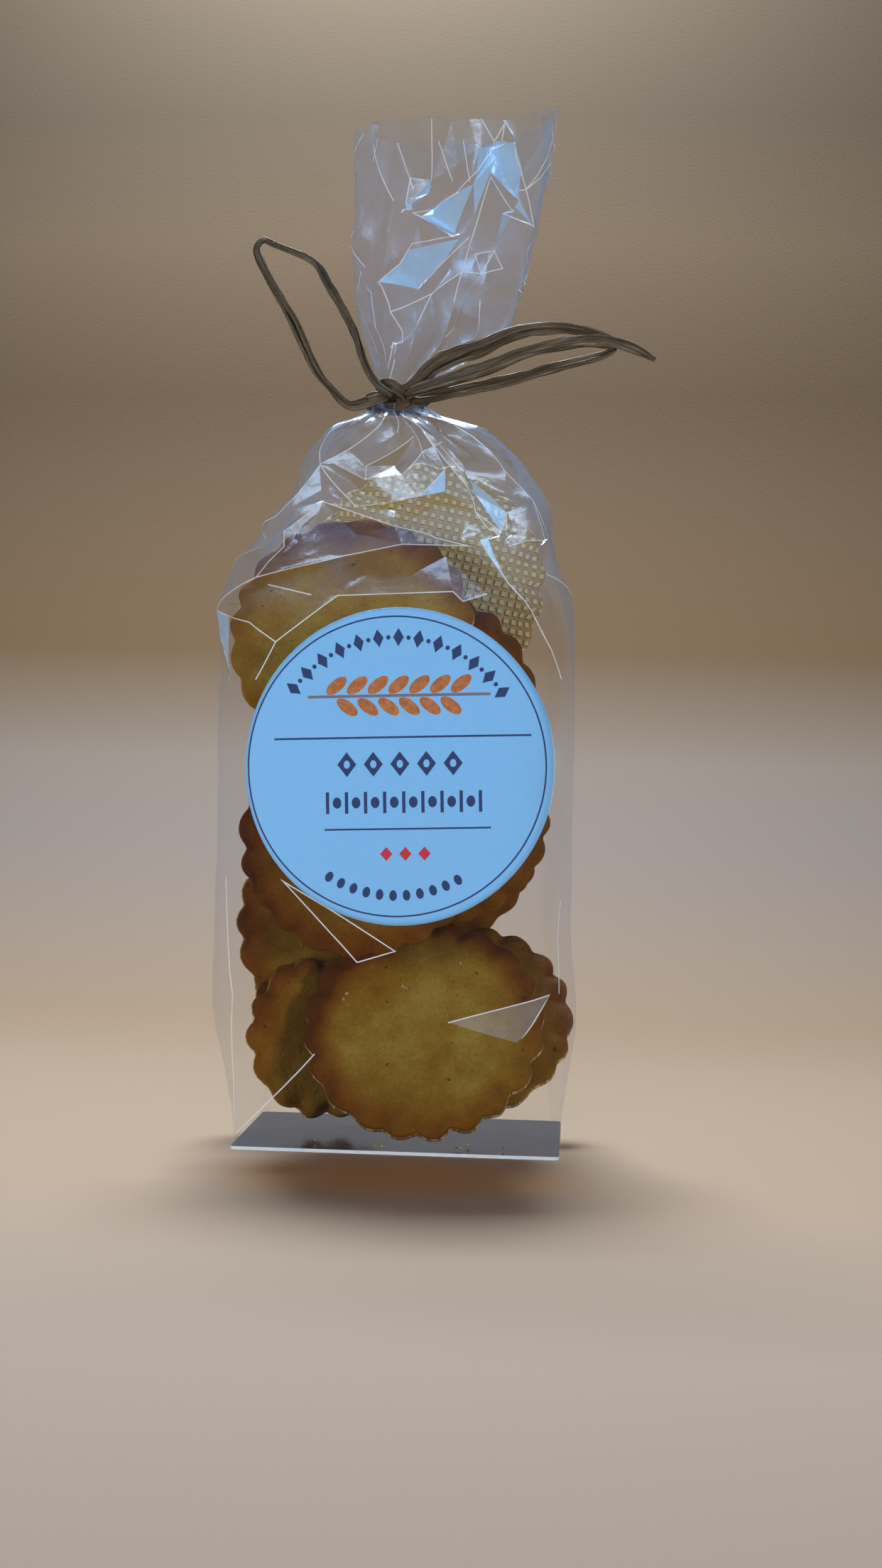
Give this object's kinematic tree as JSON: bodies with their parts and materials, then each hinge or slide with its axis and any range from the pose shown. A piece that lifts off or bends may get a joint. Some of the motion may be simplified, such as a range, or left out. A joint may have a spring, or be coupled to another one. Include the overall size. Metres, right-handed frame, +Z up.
{
  "type": "clear bag of shortbread biscuits",
  "caption": "Clear block-bottom bag of fluted round biscuits on a base card, tied at the neck with raffia, with a plain round paper label on the front.",
  "frame": {"origin": "middle of the base card's underside, on the surface the bag stands on", "axes": "+Z up to the bag's mouth, the labelled front towards -Y, +X to the right seen from the front"},
  "size_m": [0.108, 0.0601, 0.2608],
  "materials": {
    "clear_film": "clear crinkled film",
    "metallised_card": "silver-faced card with a white cut edge",
    "label_paper": "smooth satin paper",
    "raffia": "dry twisted palm fibre",
    "biscuit": "dry baked dough, browned at the rim"
  },
  "bodies": {
    "root": {"bag": "clear_film", "base_card": "metallised_card", "label": "label_paper", "raffia_knot": "raffia", "raffia_left_loop": "raffia", "raffia_right_loop": "raffia", "raffia_tail": "raffia"}
  },
  "joints": []
}
